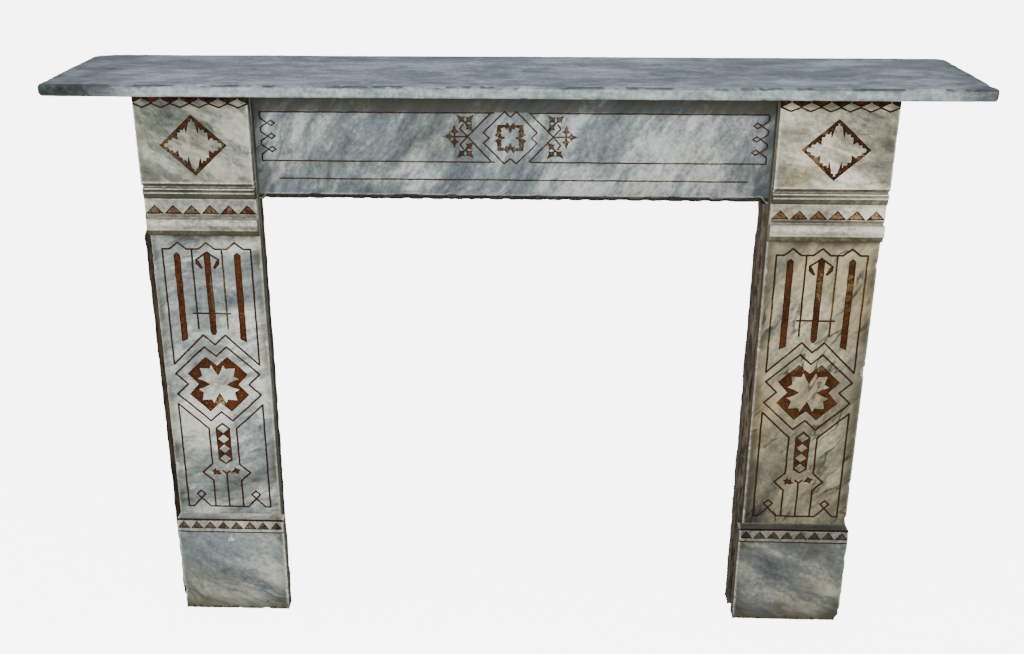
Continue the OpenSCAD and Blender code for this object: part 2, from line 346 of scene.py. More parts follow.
def incise(points, front, drawing, seed):
    """Cuts the drawing into the points on the front plane. Returns how far inside a cut each point
    lies, in millimetres: nothing outside, up to REACH in the middle of a wide ground."""
    on_face = np.flatnonzero(np.abs(points[:, 1] - front) < 1e-6)
    x, z = points[on_face, 0], points[on_face, 2]
    dx, dz = wobble(x, z, seed)
    level, edge_x, edge_z, flat = drawing.measure(x + dx, z + dz)
    slide = np.abs(level) < 0.5 * FINE
    points[on_face[slide], 0] = edge_x[slide] - dx[slide]
    points[on_face[slide], 2] = edge_z[slide] - dz[slide]
    inset = np.where(slide, 0, np.maximum(-level, 0))
    vee = 1 - (1 - np.clip(inset / drawing.half, 0, 1)) ** 2
    floor = np.clip(inset / 0.9, 0, 1)
    here = points[on_face]
    pits = 0.22 * waves(here, 7, seed + 2, 2) + 0.12 * waves(here, 2.6, seed + 3, 1)
    sunk = np.where(flat > 0.5, floor * (CUT + pits), vee * CUT)
    points[on_face, 1] += sunk
    measured = np.zeros(len(points))
    measured[on_face] = np.where(slide, 0, -level)
    distance = np.full(len(points), REACH)
    distance[on_face] = np.where(slide, 0, np.abs(level))
    return measured.clip(0, REACH), distance


def split_quads(quads, distance):
    """Two triangles for each quad, along the diagonal whose ends are nearer an edge of a cut."""
    reach = distance[quads]
    first = reach[:, 0] + reach[:, 2] <= reach[:, 1] + reach[:, 3]
    a = np.where(first[:, None], quads[:, [0, 1, 2]], quads[:, [0, 1, 3]])
    b = np.where(first[:, None], quads[:, [0, 2, 3]], quads[:, [1, 2, 3]])
    return np.concatenate([a, b])


def in_cut(points, triangles, front, drawing, seed):
    """1 for each triangle of the front whose middle lies in a cut, by the same distance."""
    middle = points[triangles].mean(1)
    facing = np.flatnonzero((points[triangles][:, :, 1].min(1) < front + 2.2 * CUT))
    x, z = middle[facing, 0], middle[facing, 2]
    dx, dz = wobble(x, z, seed)
    level = drawing.measure(x + dx, z + dz)[0]
    cut = np.zeros(len(triangles))
    cut[facing] = level < 0
    return cut


def carved_skin(xs, ys, zs, drawing, seed):
    """A box skin with the drawing cut in its front: the points, the triangles, the ring of the
    back, and the two fields that tell where the cuts are."""
    points, quads, ring = box_skin(xs, ys, zs)
    inset, distance = incise(points, ys[0], drawing, seed)
    triangles = split_quads(quads, distance)
    cut = in_cut(points, triangles, ys[0], drawing, seed)
    return points, triangles, ring, {"inset": inset, "cut": cut}


# %% [markdown]
# ## From arrays to a piece
# One function puts the arrays into a mesh, stores what the finishes need to know about each
# point, and tells the frame which block the piece stands for. The values stored are `cut`, 1
# inside a cut; `inset`, how far inside; `arris`, 1 on a worn arris, and on the painted highlights
# of the mouldings' crests; `soil`, how much dirt and painted shade lies there; and
# `kept`, how much of the old fill is left.

# %% Build one piece
pieces = []
BACK = {"arris": 0.0, "soil": 0.45}          # the plain back is neither rubbed nor sooty


def make_piece(node, points, faces, slot, ring=None, **fields):
    """A mesh object from points in millimetres and faces, with soft fields stored on its points
    and the field called cut, one value a face, stored on the faces' corners."""
    mesh = bpy.data.meshes.new(node + "_stone")
    listed = [list(face) for face in faces] + ([] if ring is None else [list(ring)])
    mesh.from_pydata((points * MM).tolist(), [], listed)
    cut = np.zeros(len(listed))
    cut[:len(faces)] = fields.pop("cut", 0)
    store = mesh.attributes.new("cut", "FLOAT", "CORNER")
    store.data.foreach_set("value", np.repeat(cut, [len(face) for face in listed]).astype(np.float32))
    for name in ("inset", "arris", "soil", "kept"):
        values = fields.get(name, np.zeros(len(points))) * np.ones(len(points))
        if ring is not None and slot != "rough_return" and name in BACK:
            values[ring] = BACK[name]
        store = mesh.attributes.new(name, "FLOAT", "POINT")
        store.data.foreach_set("value", values.astype(np.float32))
    mesh.shade_smooth()
    mesh.set_sharp_from_angle(angle=math.radians(32))
    mesh.update()
    piece = bpy.data.objects.new(node + "_stone", mesh)
    bpy.context.scene.collection.objects.link(piece)
    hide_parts(node)
    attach(piece, "root")
    pieces.append(piece)
    triangles = sum(len(p.vertices) - 2 for p in mesh.polygons)
    print(f"{piece.name}: {triangles} triangles")


# %% [markdown]
# ## Where dirt, wear and painted shade lie
# Dirt, stain and rubbing, and painted shade and painted highlights, are soft fields over the
# stone. Each is built from a few plain shapes: a fall with the distance from an edge, a bell beside
# a line, and a straight rise. Where several lie over each other the strongest shows. Painting them
# by hand would fit one size only.

# %% Shapes that the fields are made of
def fall(gap, length):
    """1 where the gap is nothing, and about a third as much with each further length."""
    return np.exp(-gap / length)


def bell(gap, width):
    """1 where the gap is nothing, and about a third at the width, by the bell curve."""
    return np.exp(-(gap / width) ** 2)


def rise(gap, length):
    """A straight rise from 0, where the gap is nothing, to 1 at the length."""
    return np.clip(gap / length, 0, 1)


def most(*layers):
    """The strongest of several fields at each point."""
    return functools.reduce(np.maximum, layers)


def from_sides(points, low, high):
    """How far each point lies from the nearer side of its block, across."""
    return np.minimum(points[:, 0] - low[0], high[0] - points[:, 0])


def freshly_cut(points, before):
    """1 where a chip has moved a point by more than half a millimetre, fading to nothing."""
    return np.clip(np.linalg.norm(points - before, axis=1) / 0.5 - 0.3, 0, 1)


def near_arris(points, low, high, width=3.0):
    """1 on an arris of the box, fading to nothing over the width: two of the three distances to
    the sides are small there."""
    gap = np.sort(np.minimum(points - low, high - points), axis=1)[:, 1]
    return bell(gap.clip(0), width)


def dirt_and_shade_band(points, height, reach, seed):
    """Dirt and painted shade that gather against a height, thinning over the reach, in uneven patches."""
    return fall(np.abs(points[:, 2] - height), reach) * (0.75 + 0.5 * waves(points, 60, seed))


def worn_patches(points, patches, x, z, tall=1.0):
    """1 in the middle of each patch, fading to nothing at about its edge. A patch is (across, up,
    half width, half height): across and up are counted from x and z, and up is drawn out by tall."""
    parts = [((points[:, 0] - x - a) / rx) ** 2 + ((points[:, 2] - z - b * tall) / rz) ** 2
             for a, b, rx, rz in patches]
    return most(*[np.exp(-share ** 2) for share in parts])


# %% [markdown]
# ## The jambs' ornament
# Each jamb has a lined panel: three bars under a toothed head, a zigzag, a medallion with a
# four-leaved cross, a column of diamonds, and two little knots at the foot. It is drawn on a
# sheet of 170 by 563, and stretched to the panel between the plinth and the necking.

# %% Draw the panel of a jamb
SHEET_W = 170.0
SHEET_H = 563.0
MEDALLION_Z = 279.0
LOBE = [(0, 19), (7, 31), (12, 42), (16, 33.5), (35, 35), (31, 18), (41, 11.5), (28, 7), (16.5, 0)]


def jamb_drawing():
    """Everything cut into one jamb, on its sheet."""
    half = SHEET_W / 2
    top = SHEET_H
    peak = top + 13
    d = Drawing(3.7)
    head = [(-half, top)]
    for x in (-55, 0, 55):
        head += [(x - 16, top), (x, peak), (x + 16, top)]
    d.path(head + [(half, top)])
    d.both([(half, top), (half, 322), (22, 385), (0, 365)])
    d.both([(29, top), (29, 399)])
    d.path([(-36, 431), (36, 431)])
    d.both([(0, 557), (22, 541)])
    d.both_grounds([(23, 542), (17, 540), (9, 524), (14, 523), (23, 533)])
    d.path(lifted(four_ways([(0, 61), (22, 81), (84, 22.5), (61, 0)]), MEDALLION_Z), closed=True)
    d.both([(half, 0), (half, 235), (28, 180), (28, 99), (49, 80), (29, 61), (29, 0)])
    d.both([(half, 0), (75, 0), (48, 29), (57, 37), (66, 29), (39, 0), (0, 0)])
    d.path([(0, 0), (0, 77)])
    d.both([(0, 77), (7, 84)])
    d.both_grounds([(-64.5, 370), (-51.5, 377), (-51.5, 551), (-58, 557), (-64.5, 551)])
    d.ground([(-6.5, 392), (-3, 385), (3, 385), (6.5, 392), (6.5, 551), (0, 557), (-6.5, 551)])
    d.ground(lifted(four_ways([(0, 41), (22, 60), (60, 22.5), (40, 0)]), MEDALLION_Z),
             lifted(four_ways(LOBE), MEDALLION_Z))
    step = 22.6
    diamonds = [[(0, z + 9.5), (11, z), (0, z - 9.5), (-11, z)] for z in 112 + step * np.arange(4)]
    d.ground([(0, 195), (15, 181), (14, 108), (0, 99), (-14, 108), (-15, 181)], *diamonds)
    # Two small leaves beside the stem
    d.ground([(-8, 78), (-14, 80), (-15, 86), (-20, 84), (-23, 91), (-26, 85), (-31, 84), (-27, 79),
              (-28, 73), (-22, 76), (-17, 74)])
    d.ground([(8, 79), (16, 88), (17, 93), (23, 88), (29, 87), (24, 81), (24, 75), (18, 80)])
    return d


# %% [markdown]
# ## The jambs
# A jamb is one slab from the hearth to the shelf. Only the stretch between the plinth and the
# necking shows its face, so that stretch gets the close grid.

# %% Make the two jambs
# Where the old fill has worn out of each panel, on its sheet: (x, z, half width, half height)
JAMB_WEAR = {
    "left": [(-54, 572, 20, 10), (-5, 572, 24, 9), (40, 566, 16, 8), (29, 470, 4, 80), (5, 470, 5, 45),
             (20, 431, 22, 5), (0, 236, 10, 16), (20, 262, 6, 7)],
    "right": [(85, 490, 7, 66), (85, 520, 6, 40), (58, 500, 10, 10), (57, 478, 10, 7), (56, 458, 10, 9),
              (58, 520, 9, 6), (29, 480, 5, 60), (-85, 420, 6, 60), (3, 500, 8, 30),
              (10, 330, 60, 6), (-64, 250, 16, 22)],
}


def make_jamb(side):
    """The jamb slab: a box skin with eased, chipped arrises and the panel cut in its face."""
    node = side + "_jamb"
    low, high = place(node)
    foot = place(side + "_plinth")[1][2]
    head = place(side + "_necking")[0][2]
    middle = (low[0] + high[0]) / 2
    margin = 20.0
    panel_w = high[0] - low[0] - 2 * margin
    panel_z, panel_h = foot + 16, head - 27 - foot - 16
    seed = 10 + SIDES.index(side)
    inner = panel_w / 2 + 3
    xs = with_arrises(spans((low[0], middle - inner, 3), (middle - inner, middle + inner, FINE),
                            (middle + inner, high[0], 3)))
    ys = with_arrises(spans((low[1], high[1], 8)))
    zs = spans((low[2], foot, 27), (foot, panel_z - 4, 3), (panel_z - 4, panel_z + panel_h + 17, FINE),
               (panel_z + panel_h + 17, head, 3), (head, high[2], 28))
    tall = panel_h / SHEET_H
    drawing = jamb_drawing().moved(middle, panel_z, panel_w / SHEET_W, tall)
    points, triangles, ring, marks = carved_skin(xs, ys, zs, drawing, seed)
    arris = near_arris(points, low, high, 2.6)
    radius = 1.9 + 0.7 * waves(points, 90, seed + 4) + 0.5 * waves(points, 14, seed + 5)
    points = ease(points, low, high, radius.clip(0.6, 3))
    before = points.copy()
    points = chip_both(points, low, high, (foot, head), 34, 1.9, (seed + 20, seed + 21))
    reach, depth = (15, 0.55) if side == "left" else (19, 0.68)
    beside = bell(from_sides(points, low, high), reach)
    # Painted shade under the necking and on the sides, and dirt with painted shade in a margin beside each
    # side
    soil = most(dirt_and_shade_band(points, head, 8, seed + 6), 0.8 * (points[:, 1] > low[1] + 4),
                depth * beside * (0.9 + 0.5 * waves(points, 80, seed + 7)))
    make_piece(node, points, triangles, "front_marble", ring, soil=soil.clip(0, 1),
               arris=most(0.7 * arris, freshly_cut(points, before)),
               kept=1 - 0.66 * worn_patches(points, JAMB_WEAR[side], middle, panel_z, tall), **marks)


for side in SIDES:
    make_jamb(side)

# %% [markdown]
# ## Capital blocks
# The block at the head of each leg has a sunk diamond with a serrated inner edge, a row of small
# diamonds under the shelf, and a chamfer below. The chamfer is a lean of the face's lowest rows.

# %% Make the two capital blocks
# Inner edge of the diamond: (share of the way along a side, how deep the cut reaches there)
SERRATION = [(0.07, 4.5), (0.12, 8.5), (0.16, 6.5), (0.22, 10), (0.394, 19.8), (0.30, 8), (0.37, 11),
             (0.41, 6), (0.47, 10), (0.51, 6), (0.57, 11), (0.626, 16.5), (0.655, 7), (0.72, 9),
             (0.77, 5), (0.83, 8), (0.88, 4.5), (0.93, 6.5)]
TEETH = 6

CAPITAL_WEAR = {
    "left": [(-48, -8, 20, 22), (-26, -34, 16, 12), (-44, 18, 12, 8), (48, 0, 12, 10), (2, -52, 9, 8)],
    "right": [(-40, -20, 26, 24), (-54, 4, 8, 8), (-22, 34, 6, 7), (44, -14, 10, 10)],
}


def lean(points, front, chamfer):
    """Leans the lowest rows of the front back in a 45 degree chamfer: a front point moves in by
    what it lacks of the chamfer's height, and the underside is drawn up to meet it."""
    low = points[:, 2].min()
    back = points[:, 1].max()
    on_front = np.abs(points[:, 1] - front) < 1e-6
    under = np.abs(points[:, 2] - low) < 1e-6
    missing = np.clip(chamfer - (points[:, 2] - low), 0, None)
    lead = (back - points[:, 1]) / (back - front)
    points[:, 1] += np.where(on_front, missing, np.where(under, chamfer * lead, missing * lead))
    return points


def serrated(wide, tall):
    """One quarter of the diamond's inner edge: the points along the side, moved in square to it."""
    side = math.hypot(wide, tall)
    inner = [(wide * t - tall / side * d, tall * (1 - t) - wide / side * d) for t, d in SERRATION]
    return [(0, tall - 10)] + inner + [(wide - 9, 0)]


def capital_drawing(width):
    """The sunk diamond and the row of small ones, measured from the diamond's centre."""
    d = Drawing(3.0)
    d.ground([(0, 57), (62, 0), (0, -57), (-62, 0)], four_ways(serrated(62, 57)))
    step = width / TEETH
    row = 77.0
    for i in range(TEETH):
        x = (i + 0.5) * step - width / 2
        d.path([(x - step / 2, row), (x, row - 7.5), (x + step / 2, row)])
    for i in range(TEETH + 1):
        x = i * step - width / 2
        reach = step / 2 - 1
        d.ground([(x, row), (x + reach, row + 8), (x + reach, row + 26), (x - reach, row + 26),
                  (x - reach, row + 8)])
    return d


def make_capital(side):
    """The capital block: a box skin with a leaning foot and the diamonds cut in its face."""
    node = side + "_capital"
    low, high = place(node)
    middle_x = (low[0] + high[0]) / 2
    middle_z = low[2] + 0.4536 * (high[2] - low[2])
    seed = 30 + SIDES.index(side)
    chamfer = 12.0
    fold = low[2] + chamfer
    xs = with_arrises(spans((low[0], high[0], FINE)))
    ys = with_arrises(spans((low[1], high[1], 7)))
    zs = spans((low[2], fold, 1.5), (fold, middle_z - 60, 2.4), (middle_z - 60, high[2], FINE))
    drawing = capital_drawing(high[0] - low[0]).moved(middle_x, middle_z)
    points, triangles, ring, marks = carved_skin(xs, ys, zs, drawing, seed)
    arris = most(near_arris(points, low, high, 2.6),
                 bell(points[:, 2] - low[2] - chamfer, 1.6) * (marks["inset"] < 0.1))
    # The chamfer leans the plain face, and the cuts are sunk into it again
    sunk = points[:, 1] - low[1]
    on_front = sunk < 2.2
    points[on_front, 1] = low[1]
    points = lean(points, low[1], chamfer)
    points[on_front, 1] += sunk[on_front]
    radius = 1.6 + 0.6 * waves(points, 70, seed + 4) + 0.4 * waves(points, 12, seed + 5)
    points = ease(points, low, high, radius.clip(0.5, 3))
    points = chip_both(points, low, high, (fold, high[2]), 22, 1.4, (seed + 20, seed + 21))
    x, y, z = points.T
    outer = x - low[0] if side == "left" else high[0] - x
    # Painted shadow of the shelf with dirt along the top, painted shade on the sides and on the down-facing
    # chamfer, and a darker band beside the outer side
    soil = most(dirt_and_shade_band(points, high[2], 20, seed + 6), 0.75 * (y > low[1] + 14),
                0.85 * (z < fold - 1.6) * (0.9 + 0.15 * waves(points, 30, seed + 8)),
                0.5 * fall(outer, 24) * (0.8 + 0.7 * waves(points, 45, seed + 9)))
    kept = 1 - 0.66 * worn_patches(points, CAPITAL_WEAR[side], middle_x, middle_z)
    make_piece(node, points, triangles, "front_marble", ring, arris=arris, soil=soil.clip(0, 1),
               kept=kept, **marks)


for side in SIDES:
    make_capital(side)

# %% [markdown]
# ## Plinths and tooth bands
# Both carry a row of small triangular teeth whose fill is mostly worn away in the middle. The
# plinths are the blocks that boots and fire irons reach, so they have the deepest chips.

# %% A row of teeth
PLINTH_TEETH = 8


def tooth_row(d, width, count, base, height):
    """A row of upright triangles, count of them over the width, standing on base."""
    pitch = width / count
    for i in range(count):
        x = (i + 0.5) * pitch - width / 2
        d.ground([(x - 0.5 * pitch, base), (x + 0.5 * pitch, base), (x, base + height)])


# %% Shape a plinth
def make_plinth(side):
    """The plinth slab: teeth between two lines at its head, and broken arrises below."""
    node = side + "_plinth"
    low, high = place(node)
    middle = (low[0] + high[0]) / 2
    width = high[0] - low[0]
    seed = 50 + SIDES.index(side)
    on_left = side == "left"
    base, tall, line = high[2] - 20.5, 17.5, high[2] - 28
    d = Drawing()
    tooth_row(d, width, PLINTH_TEETH, base, tall)
    for height in (line, high[2] - 0.9):
        d.path([(-width / 2 - 4, height), (width / 2 + 4, height)])
    rows = (0.7, 1.6, 3.0, 4.6)
    xs = with_arrises(spans((low[0], high[0], FINE)), rows)
    ys = with_arrises(spans((low[1], high[1], 5)), rows)
    zs = with_arrises(spans((low[2], line - 4, 2.6), (line - 4, high[2], FINE)))
    points, triangles, ring, marks = carved_skin(xs, ys, zs, d.moved(middle, 0), seed)
    arris = near_arris(points, low, high)
    radius = 1.8 + 0.8 * waves(points, 60, seed + 4) + 0.7 * waves(points, 11, seed + 5)
    points = ease(points, low, high, radius.clip(0.5, 3.4))
    points = chip_both(points, low, high, (low[2], high[2]), 40, 2.1, (seed + 20, seed + 21))
    points = chip_both(points, low, high, (low[2], low[2] + 60), 12, 3.2, (seed + 24, seed + 25))
    points = chip_arris(points, low, (high[0], low[1], low[2]), (0, -1, -1), 30, 1.3, seed + 22)
    if on_left:
        # A white star chip under the line, from one knock
        star_z = 172.0
        points = bite(points, [np.array([middle + 0.5, low[1] - 1.2, star_z])], [5.0])
        away = np.hypot(points[:, 0] - middle, 0.8 * (points[:, 2] - star_z))
        arris = most(arris, 1.3 * (away < 3.6 + 4.0 * waves(points, 4, seed + 13)))
    else:
        # The outer bottom corner is knocked off in one large rounded break
        points = bite(points, [np.array([high[0] + 9, low[1] + 2, low[2] - 9])], [21.0])
    x, y, z = points.T
    beside = from_sides(points, low, high)
    corner = fall(beside, 25)
    inner = np.abs(x - (high[0] if on_left else low[0]))
    foot_line = z < 4.0 + 4.0 * waves(points, 14, seed + 11)
    ledge = (z > high[2] - 0.3) * ((0.5 if on_left else 0.75) - 0.45 * rise(y - low[1], 22))
    # A brown stain runs down from the inner upper corner
    stain = fall(inner, 20) * rise(z - 100, 90) * (0.8 + 0.4 * waves(points, 30, seed + 12))
    # The sides are painted dark with dirt and shade; the face is also darker towards its foot and corners,
    # with the brown stain
    soil = most(0.2 * dirt_and_shade_band(points, high[2] - 14, 14, seed + 6), ledge, stain, 1.5 * foot_line,
                (0.7 + 0.5 * corner) * fall(z, 22 + 30 * corner),
                0.9 * (beside < 0.6) * (y > low[1] + 3))
    arris = arris * np.clip(z / 30 + 0.3 * waves(points, 9, seed + 15), 0.1, 1)
    if on_left:
        bright = bell(inner, 3.2) * np.clip(0.4 + 2.5 * waves(points, 14, seed + 14), 0, 1)
        arris = most(arris, bright * (y < low[1] + 5))
    # The band of teeth was wiped more often than the face below it
    clean = (z > line + 1) * (z < base + tall) * (y < low[1] + 6)
    arris = most(arris, 0.3 * clean * (0.8 + 0.5 * waves(points, 14, seed + 10)))
    kept = 1 - 0.7 * rise(marks["inset"] - 1.2, 1.2) * (0.85 + 0.4 * waves(points, 25, seed + 9))
    make_piece(node, points, triangles, "front_marble", ring, arris=arris, soil=soil.clip(0, 1.5),
               kept=kept.clip(0, 1), **marks)


# %% Shape a tooth band, then make both on each side
def make_tooth_band(side):
    """The band under the reeds: six teeth over a sloping bed. The slope is a lean of its rows."""
    node = side + "_tooth_band"
    low, high = place(node)
    middle = (low[0] + high[0]) / 2
    bed, slope = 10.0, 8.0
    seed = 60 + SIDES.index(side)
    d = Drawing()
    tooth_row(d, high[0] - low[0], TEETH, low[2] + bed + 0.6, 18)
    xs = with_arrises(spans((low[0], high[0], FINE)))
    ys = with_arrises(spans((low[1], high[1], 4)), (0.7, 1.6))
    zs = spans((low[2], low[2] + bed, 1.6), (low[2] + bed, high[2], FINE))
    points, triangles, ring, marks = carved_skin(xs, ys, zs, d.moved(middle, 0), seed)
    arris = most(near_arris(points, low, high, 2.2), 0.32 if side == "left" else 0.08)
    set_back(points, low, high, slope * np.clip(1 - (points[:, 2] - low[2]) / bed, 0, 1))
    radius = 1.0 + 0.4 * waves(points, 12, seed + 5)
    points = ease(points, low, high, radius.clip(0.4, 1.8))
    worn = 0.68 - 0.4 * rise(points[:, 0] - middle, 80) * (side == "left")
    kept = 1 - worn * rise(marks["inset"] - 1.3, 1.4) * (0.9 + 0.3 * waves(points, 30, seed + 9))
    # Painted shade on the sloping bed, which faces down, and dirt with painted shade under the reeds
    shade_on_bed = 0.8 * (points[:, 2] < low[2] + bed - 1) * (0.9 + 0.15 * waves(points, 30, seed + 6))
    soil = most(shade_on_bed, dirt_and_shade_band(points, high[2] + 1, 3, seed + 6))
    make_piece(node, points, triangles, "front_marble", ring, arris=arris, soil=soil.clip(0, 1),
               kept=kept.clip(0, 1), **marks)


for side in SIDES:
    make_plinth(side)
    make_tooth_band(side)

# %% [markdown]
# ## Mouldings
# The necking and the reeds are worked along their length, so each is a profile carried across the
# leg. A swept curve would do the same, but with arrays each part of the profile also carries its
# dirt and painted shade and its rubbing and painted highlight: coves and grooves keep the dirt and
# are painted dark as shade, and crests are rubbed clean and painted bright as highlights.

# %% Profiles carried across the leg
def arc(y, z, ry, rz, start, end, steps=9):
    """Points round part of an ellipse in (Y, Z): 180 degrees is its front and 90 its top."""
    angle = np.radians(np.linspace(start, end, steps))
    return np.stack([y + ry * np.cos(angle), z + rz * np.sin(angle)], 1)


def joined(*parts):
    """One profile from (points, dirt and shade, rub and highlight) parts: the points, and the two values
    for each.
    """
    points = np.concatenate([np.array(part[0], float) for part in parts])
    marks = np.concatenate([np.tile(part[1:], (len(part[0]), 1)) for part in parts])
    return points, marks[:, 0], marks[:, 1]


def carry(profile, xs):
    """A closed profile in (Y, Z) carried along xs: a tube of quads facing out, and its two ends."""
    rings, around = len(xs), len(profile)
    points = np.stack([np.repeat(xs, around), *(np.tile(line, rings) for line in profile.T)], 1)
    i, j = np.meshgrid(np.arange(rings - 1), np.arange(around), indexing="ij")
    a, b = (i * around + j).ravel(), (i * around + (j + 1) % around).ravel()
    quads = np.stack([a, b, b + around, a + around], 1)
    first, last = np.arange(around)[::-1], np.arange(around) + (rings - 1) * around
    after = np.roll(profile, -1, 0)
    if (profile[:, 0] * after[:, 1] - after[:, 0] * profile[:, 1]).sum() < 0:
        return points, quads[:, ::-1], first[::-1], last[::-1]
    return points, quads, first, last


# %% Make the neckings and the reeds
def necking_profile(low, high):
    """Fillet, rounded nose, bead and cove, from the back round the top to the foot."""
    front, top, foot = low[1], high[2], low[2]
    fillet, bead, cove = 2.0, 2.5, 14.0
    bead_z = foot + cove + bead
    nose = (top - fillet - bead_z - bead) / 2
    # Each part gives dirt with painted shade, then rubbing with painted highlight: the nose's upper half is
    # painted bright, the cove dark
    return joined(
        ([[jamb_face, foot], [jamb_face, top]], 0.6, 0),
        ([[front + 1.4, top], [front + 1, top - 0.4], [front + 1, top - fillet]], 0.1, 1),
        ([[front + 3, top - fillet]], 0.7, 0),
        (arc(front + 3, bead_z + bead + nose, 3, nose - 0.5, 110, 180, 8), 0.0, 0.75),
        (arc(front + 3, bead_z + bead + nose, 3, nose - 0.5, 190, 250, 7), 0.05, 0.25),
        (arc(front + 3, bead_z, bead, bead, 110, 250, 9), 0.3, 0.35),
        (arc(jamb_face, foot + cove - 0.5, jamb_face - front - 5, cove - 1, 180, 265, 12), 0.9, 0))


def reed_profile(low, high):
    """Two reeds over a cove that runs back to the band below."""
    top, foot = high[2], low[2]
    reed, gap = 4.5, 1.5
    back = jamb_face - 10
    neck = low[1] + reed / 2
    under = top - 2 * (reed + gap) + gap
    parts = [([[jamb_face, foot], [jamb_face, top], [neck + 0.4, top]], 0.6, 0)]
    for r in range(2):
        z = top - r * (reed + gap) - reed / 2
        # Painted highlights on the top of the first reed and the lower face of the second, with dirt and
        # painted shade between
        upper, lower = ((0.0, 1.0), (0.5, 0.0)) if r == 0 else ((0.4, 0.0), (0.0, 1.0))
        parts.append((arc(neck, z, reed / 2, reed / 2, 120, 165, 5), *upper))
        parts.append((arc(neck, z, reed / 2, reed / 2, 176, 240, 7), *lower))
        parts.append(([[neck + 0.4, z - reed / 2 - 0.2]], 0.85, 0))
    cove = arc(back, under - 1.4, back - neck - 1, under - 1.4 - foot, 180, 270, 9)
    return joined(*parts, (cove, 0.85, 0))


def make_moulding(node, outline, seed):
    """A moulding: its profile carried across, a little uneven, with chips along its crest."""
    profile, dirt_and_shade, rub_and_highlight = outline
    low, high = place(node)
    xs = with_arrises(spans((low[0], high[0], 2.2)), (0.7, 1.6))
    points, quads, first, last = carry(profile, xs)
    # Dirt with painted shade, and rubbing with painted highlights, carried along from the profile
    soil = np.tile(dirt_and_shade, len(xs)) * (1 + 0.12 * waves(points, 50, seed))
    rubbed_and_highlit = np.tile(rub_and_highlight, len(xs)) * (0.85 + 0.3 * waves(points, 26, seed + 1))
    points[:, 1] += 0.25 * waves(points, 40, seed + 2) * (points[:, 1] < jamb_face - 0.1)
    crest = profile[np.argmin(profile[:, 0]), 1]
    ends = (low[0], low[1], crest), (high[0], low[1], crest)
    points = chip_arris(points, *ends, (0, -1, 0.4), 9, 0.8, seed + 3)
    points = chip_both(points, low, high, (low[2], high[2]), 4, 1.3, (seed + 4, seed + 4))
    soil = most(soil, 0.6 * (from_sides(points, low, high) < 0.3))
    faces = quads.tolist() + [first.tolist(), last.tolist()]
    make_piece(node, points, faces, "front_marble", soil=soil.clip(0, 1), arris=rubbed_and_highlit.clip(0, 1))


for n, side in enumerate(SIDES):
    make_moulding(side + "_necking", necking_profile(*place(side + "_necking")), 70 + n)
    make_moulding(side + "_reeding", reed_profile(*place(side + "_reeding")), 80 + n)

# %% [markdown]
# ## The frieze
# The frieze is a long slab behind the legs, with a frame of cut lines, three knots at each end, an
# eight-pointed star in the middle with sprays on each side, and a chamfer under it that has been
# chipped into scallops.

# %% Draw the frieze
END_GAP = 10.0                               # from a leg to the frame of lines
MOTIF_Z = 122.0                              # this and the next four are heights over the lower edge
TOP_LINE = 168.0
LOW_LINE = 76.0
SHORT_LINE = 42.0
KNOT_Z = 147.5
LEAF_SIDE = [(0, 1.2), (4, 1.8), (6.6, 3.2), (8.4, 8.4), (11.4, 3.8)]
LEAF_OUT = [(x, -z) for x, z in LEAF_SIDE] + [(21.5, 0)] + LEAF_SIDE[::-1]


def leaf_at(x, z, size, degrees):
    """A small three-pointed leaf on its stalk, growing from a place in a direction."""
    turn = math.radians(degrees)
    c, s = math.cos(turn), math.sin(turn)
    return [(x + size * (c * a - s * b), z + size * (s * a + c * b)) for a, b in LEAF_OUT]


def frieze_drawing(opening):
    """Lines, knots and the middle motif, measured from the middle of the slab's lower edge."""
    end = opening / 2 - END_GAP
    d = Drawing(2.9)
    d.both([(34, TOP_LINE), (end, TOP_LINE)])
    d.both([(34, LOW_LINE), (end, LOW_LINE)])
    d.path([(41 - opening / 2, SHORT_LINE), (opening / 2 - 41, SHORT_LINE)])
    for i in range(3):
        z = KNOT_Z - 25 * i
        d.both([(end, z + (16 if i else 20)), (end, z + 9), (end - 20, z - 5), (end - 27, z),
                (end - 20, z + 5), (end, z - 9)])
    d.both([(end, 88.5), (end, LOW_LINE)])
    m = Drawing(2.9)
    m.path(four_ways([(0, 39), (11, 49), (49.5, 10), (39, 0)]), closed=True)
    m.both([(35, 47), (79, 2), (93, -13), (87, -21)])
    m.both([(35, -45), (79, 2), (93, 17), (87, 25)])
    m.both([(79, 2), (103, 2)])
    m.ground(four_ways([(0, 21), (5.5, 30), (9.5, 24.5), (24, 25), (25, 9.5), (29.5, 5.5), (21, 0)]),
             four_ways([(0, 8), (4.4, 17.5), (7.2, 14.5), (11, 20), (17.5, 17.5), (15, 11.5), (18, 8.5),
                        (14, 6), (17, 4.4), (8, 0)]))
    for x, z, way in ((83, 27, 135), (83, -23, 225), (103, 2, 0)):
        for bend in (-90, 0, 90):
            m.both_grounds(leaf_at(x, z, 1.06, way + bend))
    # The mason set the motif a little to the left of the middle
    m = m.moved(-4, MOTIF_Z)
    d.strokes += m.strokes
    d.grounds += m.grounds
    return d


